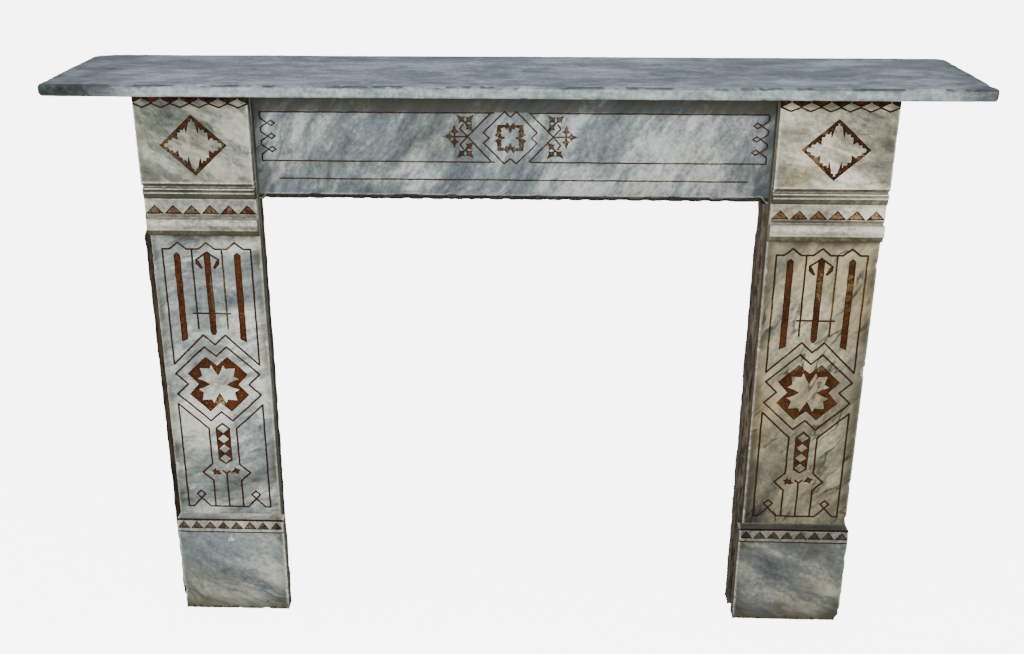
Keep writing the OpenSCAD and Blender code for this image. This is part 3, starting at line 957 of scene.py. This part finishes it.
# %% Make the frieze
def make_frieze():
    """The frieze slab: fine grid only over the middle motif, the knots and the rows of lines."""
    low, high = place("frieze")
    half, front, foot = high[0], low[1], low[2]
    opening = place("right_jamb")[0][0] - place("left_jamb")[1][0]
    end, stop = opening / 2 - END_GAP, opening / 2 - 2
    seed, chamfer, motif = 90, 12.5, 118
    xs = spans((-half, -end - 6, 16), (-end - 6, -end + 32, FINE), (-end + 32, -motif, 4.4),
               (-motif, motif, FINE), (motif, end - 32, 4.4), (end - 32, end + 6, FINE),
               (end + 6, half, 16))
    ys = spans((front, high[1], 4))
    ends = foot + np.array([0, chamfer, SHORT_LINE - 4, SHORT_LINE + 4, LOW_LINE - 8, TOP_LINE + 6])
    zs = spans(*zip(ends, [*ends[1:], high[2]], (1.6, 3, FINE, 3, FINE, 6)))
    drawing = frieze_drawing(opening).moved(0, foot)
    points, triangles, ring, marks = carved_skin(xs, ys, zs, drawing, seed)
    # The chamfer leans the lowest rows back, and dies out at a splayed stop by each leg
    reach = chamfer * rise(stop - np.abs(points[:, 0]), 11)
    set_back(points, low, high, np.clip(reach - (points[:, 2] - foot), 0, None))
    arris = 0.7 * bell(points[:, 2] - foot - reach - 0.6, 1.2) * (points[:, 1] < high[1] - 5)
    upper, lower = (front, foot + chamfer), (front + chamfer, foot)
    chips = ((20 - stop, stop - 20, upper, 0.7, 44, 1.8, (3, 8)),
             (-230, 120, upper, 0.5, 17, 3.2, (2.4, 4.5)),
             (-stop, stop, lower, 1, 60, 1.6, (2, 6)))
    for n, (start, finish, line, down, count, depth, spread) in enumerate(chips, 1):
        points = chip_arris(points, (start, *line), (finish, *line), (0, -1, -down), count, depth,
                            seed + n, spread)
    # Small nicks stand at an even spacing along the lower arris
    pitch = 37.5
    nicks = np.arange(-345.0, 420, pitch)
    centres = np.stack([nicks - 4, 0 * nicks + front + chamfer - 5.5, 0 * nicks + foot - 1], 1)
    points = bite(points, centres, 10.5 + 1.2 * np.sin(1.7 * np.arange(len(nicks))))
    x, y, z = points.T
    # Near-black peaks stand beside the nicks, at the same spacing
    beside = np.abs((x + 4) / pitch - np.round((x + 4) / pitch)) * pitch
    peaks = (z < foot + 8 - 0.9 * beside) * (np.abs(x) < 400)
    # The right part was wiped more often, and is paler
    inner = np.abs(x) / (opening / 2)
    pale = 0.28 * bell(x - 330, 130) * (y < front + 6) * (z < foot + TOP_LINE - 3) * (inner < 0.93)
    arris = most(arris, pale * (0.8 + 0.8 * waves(points, 110, seed + 6)).clip(0))
    # Soot and the painted shadow of the shelf lie over the top line
    over_line = z - foot - TOP_LINE
    soot_and_shelf_shadow = (0.8 + 0.2 * over_line / (high[2] - foot - TOP_LINE)) * rise(over_line, 3)
    # A band of painted shade stands beside each leg, wider at its foot
    width = 0.028 + 0.045 * (1 - (z - foot) / (high[2] - foot)) ** 2
    shade_by_legs = 0.5 * np.clip((width - (1 - inner).clip(0)) / 0.022 + 0.5, 0, 1)
    # The chamfer faces down and is painted near black as shade; the face just above it is a little darker
    soil = most(1.55 * (z < foot + chamfer - 1.2), 1.7 * peaks, soot_and_shelf_shadow, shade_by_legs,
                0.26 * fall((z - foot - chamfer).clip(0), 16))
    soil = soil * (0.95 + 0.12 * waves(points, 60, seed + 4))
    soil = np.where(y > high[1] - 5, 0.4, soil)
    kept = (0.75 + 0.4 * waves(points, 90, seed + 5)).clip(0, 1)
    make_piece("frieze", points, triangles, "front_marble", ring, arris=arris, soil=soil.clip(0, 1.7),
               kept=kept, **marks)


make_frieze()

# %% [markdown]
# ## The shelf
# The shelf is one thin slab that overhangs the front. Its back corners are broken away and its
# front arrises are rubbed round, with small flakes missing.

# %% Make the shelf
def make_shelf():
    """The shelf: a box skin whose back edge is drawn in towards the broken corners."""
    low, high = place("shelf")
    seed = 110
    left, right = 26.0, 16.0
    rows = (0.8, 1.8, 3.2, 5)
    xs = with_arrises(spans((low[0], low[0] + 50, 2.4), (low[0] + 50, high[0] - 50, 4.5),
                            (high[0] - 50, high[0], 2.4)), rows)
    ys = with_arrises(spans((low[1], low[1] + 12, 2.4), (low[1] + 12, high[1], 9)), rows)
    zs = with_arrises(spans((low[2], high[2], 3.5)), rows)
    points, quads, ring = box_skin(xs, ys, zs)
    arris = near_arris(points, low, high, 3.2)
    radius = 3.4 + 1.0 * waves(points, 120, seed) + 0.8 * waves(points, 22, seed + 1)
    radius += 6 * fall(points[:, 0] - low[0], 14) + 3 * fall(high[0] - points[:, 0], 10)
    points = ease(points, low, high, radius.clip(1.6, 8.5))
    for z, way in ((high[2], (0, -1, 1)), (low[2], (0, -1, -1))):
        points = chip_arris(points, (low[0], low[1], z), (high[0], low[1], z), way, 46, 2.2, seed + 2)
    for x in (low[0], high[0]):
        way = (np.sign(x), 0, 1)
        points = chip_arris(points, (x, low[1], high[2]), (x, high[1], high[2]), way, 14, 2.4, seed + 3)
    # The back edge, from corner to corner: how far along, and how far in
    along = [low[0], low[0] + 0.5 * left, low[0] + 1.6 * left,
             high[0] - right, high[0] - 0.35 * right, high[0]]
    back = high[1] - np.interp(points[:, 0], along,
                               [1.2 * left, 0.35 * left, 0, 0, 0.6 * right, 1.4 * right])
    share = (points[:, 1] - low[1]) / (high[1] - low[1])
    rough = 0.9 * waves(points, 30, seed + 5) - 0.9
    points[:, 1] = low[1] + share * (back - low[1]) + rough * (share > 0.985)
    points[:, 2] += 0.25 * waves(points, 160, seed + 6, 2) * (points[:, 2] > low[2] + 8)
    x, y, z = points.T
    end_dirt = fall(x - low[0], 70) + fall(high[0] - x, 60)
    # The front is smoked towards its two ends
    smoke = 1.12 * rise(-650 - x, 110) + 0.75 * rise(x - 740, 90)
    on_front = rise(low[1] + 6 - y, 4)
    # A stained line follows the upper arris, broken into dashes
    dashes = np.clip(0.5 + 2.0 * waves(points, 26, seed + 9, 3, (2.2, 1, 1)), 0, 1)
    stain = bell(y - low[1] - 1.0, 1.7) * (z > high[2] - 6)
    soil = most(0.5 * fall(high[1] - y, 14) * (0.8 + 0.5 * waves(points, 70, seed + 7)),
                0.75 * (z < low[2] + 1.5), 0.75 * stain * dashes,
                0.42 * end_dirt * (0.9 + 0.6 * waves(points, 50, seed + 11, 3, (3, 1, 1))),
                smoke * (0.3 + 0.7 * on_front) * (0.9 + 0.3 * waves(points, 60, seed + 8)))
    clean = on_front * (1 - smoke).clip(0) * (z < high[2] - 4)
    clean = clean * (0.85 + 0.45 * waves(points, 8, seed + 10, 3, (10, 1, 1)))
    arris = most(0.25 * arris * (1 - stain), 0.75 * clean)
    make_piece("shelf", points, quads, "shelf_marble", ring, arris=arris, soil=soil.clip(0, 1.5))


make_shelf()

# %% [markdown]
# ## The rough returns
# Behind each jamb stand two narrow slabs that were set into the wall. They were never polished:
# saw marks run up them, and soot and old mortar stain them dark brown.

# %% Make the returns
# How far two of them stand past their blocks
BULGE = {"left_outer_return": 4.4, "right_inner_return": 1.5}


def make_return(node, seed):
    """A rough slab: its faces move in by noise drawn out along the height, like a riven edge."""
    low, high = place(node)
    lines = [spans((low[k], high[k], step)) for k, step in enumerate((3, 3.4, 5))]
    points, quads, ring = box_skin(*lines)
    middle = (low + high) / 2
    # It stands past its block beside the jamb only, and not beside the mouldings
    stands = BULGE.get(node, 0) * rise(high[2] - 60 - points[:, 2], 12)
    streak = waves(points, 9, seed, 3, (1, 1, 7)) + 0.6 * waves(points, 60, seed + 1, 2)
    pull = (0.9 + 0.8 * streak).clip(0, 2.2) - stands * (np.abs(points[:, 0] - middle[0]) > 9.9)
    away = np.sign(points - middle) * (np.abs(np.abs(points - middle) - (high - low) / 2) < 1e-6)
    away[:, 2] = 0
    points -= away * pull[:, None]
    ends = (middle[0], high[1], low[2]), (middle[0], high[1], high[2])
    points = chip_arris(points, *ends, (0, 1, 0), 30, 1.6, seed + 2)
    soil = (0.8 + 0.4 * waves(points, 70, seed + 3)).clip(0, 1)
    make_piece(node, points, quads, "rough_return", ring, soil=soil)


for n, side in enumerate(SIDES):
    make_return(side + "_outer_return", 130 + n)
    make_return(side + "_inner_return", 140 + n)

# %% [markdown]
# ## Finishes as sums
# A finish is a tree of nodes, and a tree of thirty sums is hard to read as nodes. So a small class
# wraps one socket, and ordinary sums on it add the Math nodes. Everything else comes from one
# method that takes a node's kind, its settings and its inputs.

# %% A socket that can be added and multiplied
class Value:
    """A number that varies over the surface. Plain sums on it add Math nodes."""

    def __init__(self, finish, socket):
        self.finish = finish
        self.socket = socket

    def sum(self, operation, *others):
        return self.finish.node("Math", {"operation": operation}, dict(enumerate(others)))

    def __add__(self, other):
        return self.sum("ADD", self, other)

    def __mul__(self, other):
        return self.sum("MULTIPLY", self, other)

    def __sub__(self, other):
        return self.sum("SUBTRACT", self, other)

    def __rsub__(self, other):
        return self.sum("SUBTRACT", other, self)

    def most(self, other):
        return self.sum("MAXIMUM", self, other)

    __radd__ = __add__
    __rmul__ = __mul__


class Finish:
    """One material and the means to add nodes to it. Its `where` is the place on the object."""

    def __init__(self, name):
        self.material = bpy.data.materials.new(name)
        self.material.use_nodes = True
        self.tree = self.material.node_tree
        self.tree.nodes.clear()
        self.where = self.node("TexCoord", None, None, 3)

    def node(self, kind, settings=None, inputs=None, output=0):
        """Adds a node. Settings are set first, and stops fill a colour ramp. An input is a link
        where it is a Value, and otherwise the socket's own number or colour."""
        node = self.tree.nodes.new("ShaderNode" + kind)
        for key, value in (settings or {}).items():
            if key == "stops":
                ramp = node.color_ramp
                ramp.elements[0].position, ramp.elements[0].color = value[0]
                ramp.elements[1].position, ramp.elements[1].color = value[-1]
                for position, colour in value[1:-1]:
                    ramp.elements.new(position).color = colour
            else:
                setattr(node, key, value)
        for key, value in (inputs or {}).items():
            if isinstance(value, Value):
                self.tree.links.new(value.socket, node.inputs[key])
            else:
                node.inputs[key].default_value = value
        return Value(self, node.outputs[output])

    def noise(self, vector, scale, detail=5.0, rough=0.55):
        """Fractal noise from 0 to 1."""
        return self.node("TexNoise", None, {"Vector": vector, "Scale": scale, "Detail": detail,
                                            "Roughness": rough})

    def drawn_out(self, vector, *scale):
        """The vector scaled along X, Y and Z. A small scale draws a noise out along that way."""
        return self.node("Mapping", None, {"Vector": vector, "Scale": scale})

    def step(self, value, low, high):
        """0 below low, 1 above high and a smooth rise between."""
        return self.node("MapRange", {"interpolation_type": "SMOOTHSTEP"},
                         {"Value": value, "From Min": low, "From Max": high})

    def blend(self, share, first, second, how="MIX"):
        """The first colour turning into the second as the share rises."""
        settings = {"data_type": "RGBA", "blend_type": how}
        return self.node("Mix", settings, {0: share, 6: first, 7: second}, 2)

    def field(self, name):
        """A value stored on the mesh."""
        return self.node("Attribute", {"attribute_name": name}, None, 2)

    def surface(self, colour, roughness, bumps, **constants):
        """The shader: colour, roughness and a Bump node on a Principled BSDF."""
        inputs = {"Base Color": colour, "Roughness": roughness, **constants}
        shader = self.node("BsdfPrincipled", None, inputs)
        bump = self.node("Bump", None, {"Height": bumps, "Strength": 0.35, "Distance": 0.0012})
        self.tree.links.new(bump.socket, shader.socket.node.inputs["Normal"])
        out = self.tree.nodes.new("ShaderNodeOutputMaterial")
        self.tree.links.new(shader.socket, out.inputs["Surface"])
        return self.material


def rgb(red, green, blue):
    """A colour given as it looks on a screen, from 0 to 255, as the linear values Blender uses."""
    def linear(v):
        v = v / 255
        return v / 12.92 if v <= 0.04045 else ((v + 0.055) / 1.055) ** 2.4
    return (linear(red), linear(green), linear(blue), 1.0)


# %% [markdown]
# ## Veined marble
# The marble has three things at three scales: broad clouds of white and blue-grey drawn out along
# the bed of the stone, a few thin darker veins that run with them, and a fine crystal speckle.
# One noise stretched along a turned axis and bent by a second noise gives clouds. The thin band
# where a noise crosses its middle value gives veins. Each leg was cut from another part of the
# block, so each finish has its own turn and its own warmth.

# %% The marble finish
finishes = {}


def marble(name, turn, shift, dark, middle, light, fill, size=1.0, veins=0.5, warmth=0.5,
           shine=0.95, fade=0.0, reach=(0.37, 0.64), rubbed_and_highlit=(240, 238, 224), film_and_shade=(160, 156, 138),
           grime_and_shade=(74, 68, 52), outline=1.0):
    """Marble whose bed lies at turn degrees from level, in the plane of the front."""
    f = Finish("marble_" + name)
    where = f.where
    turned = f.node("Mapping", None, {"Vector": where, "Location": shift,
                                      "Rotation": (0, math.radians(turn), 0)})
    bend = f.node("TexNoise", None, {"Vector": turned, "Scale": 6.0, "Detail": 4.0}, 1)
    bend = f.node("VectorMath", {"operation": "SUBTRACT"}, {0: bend, 1: (0.5, 0.5, 0.5)})
    bend = f.node("VectorMath", {"operation": "SCALE"}, {0: bend, "Scale": 0.09})
    bent = f.node("VectorMath", {"operation": "ADD"}, {0: turned, 1: bend})
    drawn = f.drawn_out(bent, 0.34, 0.8, 1.0)
    broad = f.noise(drawn, 8.0 * size, 3.0, 0.5)
    clouds = f.noise(drawn, 26.0 * size, 6.0, 0.62)
    streaks = f.noise(f.drawn_out(bent, 0.16, 1.0, 1.0), 62.0 * size, 6.0, 0.7)
    mottle = f.noise(where, 120.0, 5.0, 0.7)
    tone = f.step(broad * 0.34 + clouds * 0.34 + streaks * 0.20 + mottle * 0.12, *reach)
    whitest = [min(250, v * 1.08) for v in light]
    stops = [(at, rgb(*shade)) for at, shade in ((0.0, dark), (0.45, middle), (0.8, light), (1.0, whitest))]
    colour = f.node("ValToRGB", {"stops": stops}, {"Fac": tone})
    # Thin veins along the bed
    line = f.noise(f.drawn_out(bent, 0.22, 1.0, 1.0), 19.0 * size, 4.0, 0.5)
    off = f.node("Math", {"operation": "ABSOLUTE"}, {0: line - 0.5})
    thin = (1 - f.step(off, 0.0, 0.026)) * f.step(f.noise(where, 9.0, 2.0), 0.42, 0.62)
    colour = f.blend(thin * veins, colour, rgb(*(v * 0.75 for v in dark)))
    # Warm stain in broad patches
    stain = f.step(f.noise(where, 7.5, 6.0, 0.65), 0.44, 0.66)
    colour = f.blend(stain * warmth, colour, rgb(196, 176, 128), "MULTIPLY")
    # Fine crystal speckle, and the stone darker towards the bottom by fade
    grain = f.noise(where, 380.0, 3.0, 0.75)
    height = f.node("SeparateXYZ", None, {0: where}, 2)
    shade = (0.22 + grain * 0.62 + mottle * 0.90) * (1 - fade * (1 - f.step(height, 0.15, 0.7)))
    colour = f.node("VectorMath", {"operation": "SCALE"}, {0: colour, "Scale": shade})
    # Dirt and painted shade: a film, then grime, then near black where the field passes 1, as on the
    # down-facing chamfers
    soil = f.field("soil") * (0.75 + 0.45 * f.step(mottle, 0.35, 0.65))
    colour = f.blend(f.step(soil, 0.0, 0.55) * 0.85, colour, rgb(*film_and_shade), "MULTIPLY")
    colour = f.blend(f.step(soil, 0.4, 1.0) * 0.9, colour, rgb(*grime_and_shade))
    colour = f.blend(f.step(soil, 1.0, 1.4) * 0.85, colour, rgb(26, 24, 18))
    # Rubbed arrises, and painted highlights on the mouldings' crests
    arris = f.field("arris") * (0.45 + 0.55 * f.step(f.noise(where, 120.0, 4.0, 0.65), 0.42, 0.6))
    colour = f.blend(arris * shine, colour, rgb(*rubbed_and_highlit))
    # The old fill in the cuts, patchy where it has worn
    speck = f.noise(where, 260.0, 4.0, 0.7)
    worn = f.step(speck, 0.30, 0.70)
    left = f.field("cut") * f.step(f.field("kept") + worn, 0.98, 1.18)
    patchy = f.step(f.noise(where, 60.0, 4.0, 0.7) * 0.6 + speck * 0.4, 0.38, 0.62)
    patchy = patchy.most((1 - f.step(f.field("inset"), 1.2, 3.0)) * outline)
    paint = f.blend(patchy * 0.9, rgb(*fill), rgb(*(v * 0.45 for v in fill)))
    old = f.blend(f.field("cut") * (0.8 + 0.2 * patchy), colour, rgb(146, 108, 56), "MULTIPLY")
    colour = f.blend(left, old, paint)
    colour = f.blend(f.field("cut") * f.step(soil, 0.2, 0.8) * 0.95, colour, rgb(96, 84, 70), "MULTIPLY")
    rough = 0.42 + mottle * 0.16 + f.step(soil, 0.2, 1.0) * 0.3 + left * 0.4
    bumps = grain * 0.5 + mottle * 0.8 + speck * f.field("cut") * 1.5
    finishes[name] = f.surface(colour, rough, bumps, **{"Specular IOR Level": 0.25})


# %% One marble for each part
UMBER = (86, 42, 10)
SOFT = (0.33, 0.68)                          # where the clouds' tone starts and ends its rise

# Each has the turn of its bed, a shift, its dark, middle and light tones, and the fill of its cuts
marble("left_leg", 24, (1.3, 0.2, 0.4), (84, 94, 98), (152, 162, 158), (230, 236, 224), (98, 47, 8),
       warmth=0.3, shine=0.75, fade=0.14, reach=(0.35, 0.66))
marble("left_head", -26, (0.4, 0.7, 2.1), (60, 70, 66), (126, 132, 120), (190, 192, 172), UMBER,
       warmth=0.45)
marble("left_foot", -30, (2.4, 0.1, 0.9), (82, 94, 100), (142, 151, 149), (206, 208, 194), (88, 56, 16),
       size=0.8, reach=SOFT)
marble("right_leg", 58, (3.1, 0.5, 1.7), (84, 88, 82), (158, 154, 128), (216, 208, 170), (92, 48, 12),
       veins=0.9, shine=0.75, fade=0.5, reach=SOFT)
marble("right_head", -14, (0.9, 0.3, 3.7), (96, 96, 84), (188, 184, 160), (250, 246, 224), UMBER,
       warmth=0.65)
marble("right_foot", -24, (1.9, 0.8, 0.2), (62, 70, 72), (114, 118, 112), (174, 172, 154), (82, 52, 16),
       size=0.8, warmth=0.7, shine=0.5, reach=SOFT)
marble("frieze", 56, (0.2, 0.4, 0.6), (84, 94, 100), (132, 142, 143), (188, 197, 192), (92, 62, 36),
       size=1.6, veins=0.4, warmth=0.35, shine=0.75, film_and_shade=(144, 152, 160), grime_and_shade=(82, 81, 67),
       outline=0.3)
marble("shelf", 3, (2.2, 1.4, 0.3), (76, 88, 102), (114, 126, 138), (156, 168, 178), (70, 30, 12),
       size=2.0, warmth=0.12, shine=0.8, reach=(0.32, 0.68), rubbed_and_highlit=(200, 214, 202), film_and_shade=(150, 156, 148),
       grime_and_shade=(40, 46, 42))


def finish_of(node):
    """Which marble a block is cut from."""
    if node in ("shelf", "frieze"):
        return node
    side, part = node.split("_", 1)
    group = {"jamb": "leg", "plinth": "foot"}.get(part, "head")
    return side + "_" + group


# %% [markdown]
# ## Rough stone
# The returns are sawn marble that soot and mortar have turned brown. The colour is the same idea
# as the marble, but noise drawn out along the height makes streaks.

# %% The rough finish
def rough_stone():
    """Brown streaks along Z over grey stone, with pale scars."""
    f = Finish("rough_returns")
    where = f.where
    streak = f.noise(f.drawn_out(where, 1.0, 1.0, 0.12), 190.0, 6.0, 0.65)
    patch = f.noise(where, 14.0, 5.0, 0.6)
    colour = f.blend(f.step(streak, 0.38, 0.64), rgb(40, 34, 26), rgb(116, 104, 88))
    colour = f.blend(f.step(patch, 0.42, 0.68) * 0.6, colour, rgb(60, 50, 36))
    scar = f.step(f.noise(where, 60.0, 5.0, 0.7), 0.60, 0.70) * f.step(patch, 0.40, 0.60)
    colour = f.blend(scar * 0.55, colour, rgb(168, 160, 146))
    # Those of the left leg are darker
    left = 1 - f.step(f.node("SeparateXYZ", None, {0: where}), -0.1, 0.1)
    colour = f.blend(left * 0.8, colour, rgb(170, 158, 138), "MULTIPLY")
    rough = 0.7 + streak * 0.2
    finishes["rough"] = f.surface(colour, rough, streak * 1.6 + patch, **{"Specular IOR Level": 0.3})


rough_stone()
for piece in pieces:
    node = piece.name[:-len("_stone")]
    piece.data.materials.append(finishes["rough" if node.endswith("return") else finish_of(node)])
print("finishes:", len(finishes))

# %% [markdown]
# ## Studio
# A pale floor, a bright even surround and one large soft light above the front, as for a
# catalogue of salvaged stone.

# %% Floor and lights
def make_floor():
    """A wide, flat, pale floor at the feet."""
    mesh = bpy.data.meshes.new("floor")
    size = 12.0
    corners = [(-size, -size, 0), (size, -size, 0), (size, size, 0), (-size, size, 0)]
    mesh.from_pydata(corners, [], [(0, 1, 2, 3)])
    floor = bpy.data.objects.new("floor", mesh)
    bpy.context.scene.collection.objects.link(floor)
    f = Finish("pale_floor")
    tint = f.blend(f.noise(f.where, 3.0, 3.0), (0.90, 0.90, 0.90, 1), (0.93, 0.93, 0.93, 1))
    glow = {"Specular IOR Level": 0.0, "Emission Color": (1, 1, 1, 1), "Emission Strength": 6.0}
    floor.data.materials.append(f.surface(tint, 0.9, f.noise(f.where, 40.0), **glow))
    # A lit floor would brighten the undersides, which are dark with grime and shade
    floor.visible_diffuse = False
    floor.visible_glossy = False


def area_light(name, where, aim, size, power):
    """A large soft light at a place, turned towards what it lights."""
    light = bpy.data.lights.new(name, "AREA")
    light.shape = "RECTANGLE"
    light.size, light.size_y = size
    light.energy = power
    lamp = bpy.data.objects.new(name, light)
    bpy.context.scene.collection.objects.link(lamp)
    way = np.array(aim, float) - where
    lamp.location = where
    tip = math.atan2(math.hypot(way[0], way[1]), -way[2])
    lamp.rotation_euler = (tip, 0, math.atan2(way[1], way[0]) - math.pi / 2)


def make_surround(ambient, backdrop):
    """Even light from all round, with a whiter backdrop where the camera looks past the stone."""
    world = bpy.data.worlds.new("surround")
    world.use_nodes = True
    tree = world.node_tree
    tree.nodes.clear()
    shades = []
    for strength in (ambient, backdrop):
        shade = tree.nodes.new("ShaderNodeBackground")
        shade.inputs["Strength"].default_value = strength
        shades.append(shade)
    choose = tree.nodes.new("ShaderNodeMixShader")
    rays = tree.nodes.new("ShaderNodeLightPath")
    tree.links.new(rays.outputs["Is Camera Ray"], choose.inputs[0])
    for number, shade in enumerate(shades, 1):
        shade.inputs["Color"].default_value = (1, 1, 1, 1)
        tree.links.new(shade.outputs[0], choose.inputs[number])
    out = tree.nodes.new("ShaderNodeOutputWorld")
    tree.links.new(choose.outputs[0], out.inputs["Surface"])
    bpy.context.scene.world = world


make_floor()
make_surround(ambient=0.5, backdrop=6.0)
area_light("overhead", where=(0, -0.7, 3.8), aim=(0, -0.6, 0), size=(4.0, 2.6), power=48)
area_light("front", where=(-0.5, -3.6, 2.1), aim=(0, 0, 0.6), size=(2.6, 1.6), power=132)

# %% [markdown]
# ## Camera
# The camera stands in front at about eye height and looks down on the shelf. The small
# shift only centres the piece in the frame.

# %% Camera
def make_camera(where, pitch, yaw, roll, lens, shift):
    """A camera at a place, looking down by pitch and to the side by yaw, in degrees."""
    camera = bpy.data.cameras.new("camera")
    camera.lens = lens
    camera.shift_x, camera.shift_y = shift
    camera.clip_end = 60
    holder = bpy.data.objects.new("camera", camera)
    bpy.context.scene.collection.objects.link(holder)
    holder.location = where
    holder.rotation_mode = "XYZ"
    holder.rotation_euler = (math.radians(90 - pitch), math.radians(roll), math.radians(-yaw))
    bpy.context.scene.camera = holder


make_camera(where=(0.0381, -2.2230, 1.5262), pitch=21.54, yaw=-2.08, roll=0.07, lens=42.21,
            shift=(0.02153, -0.01645))
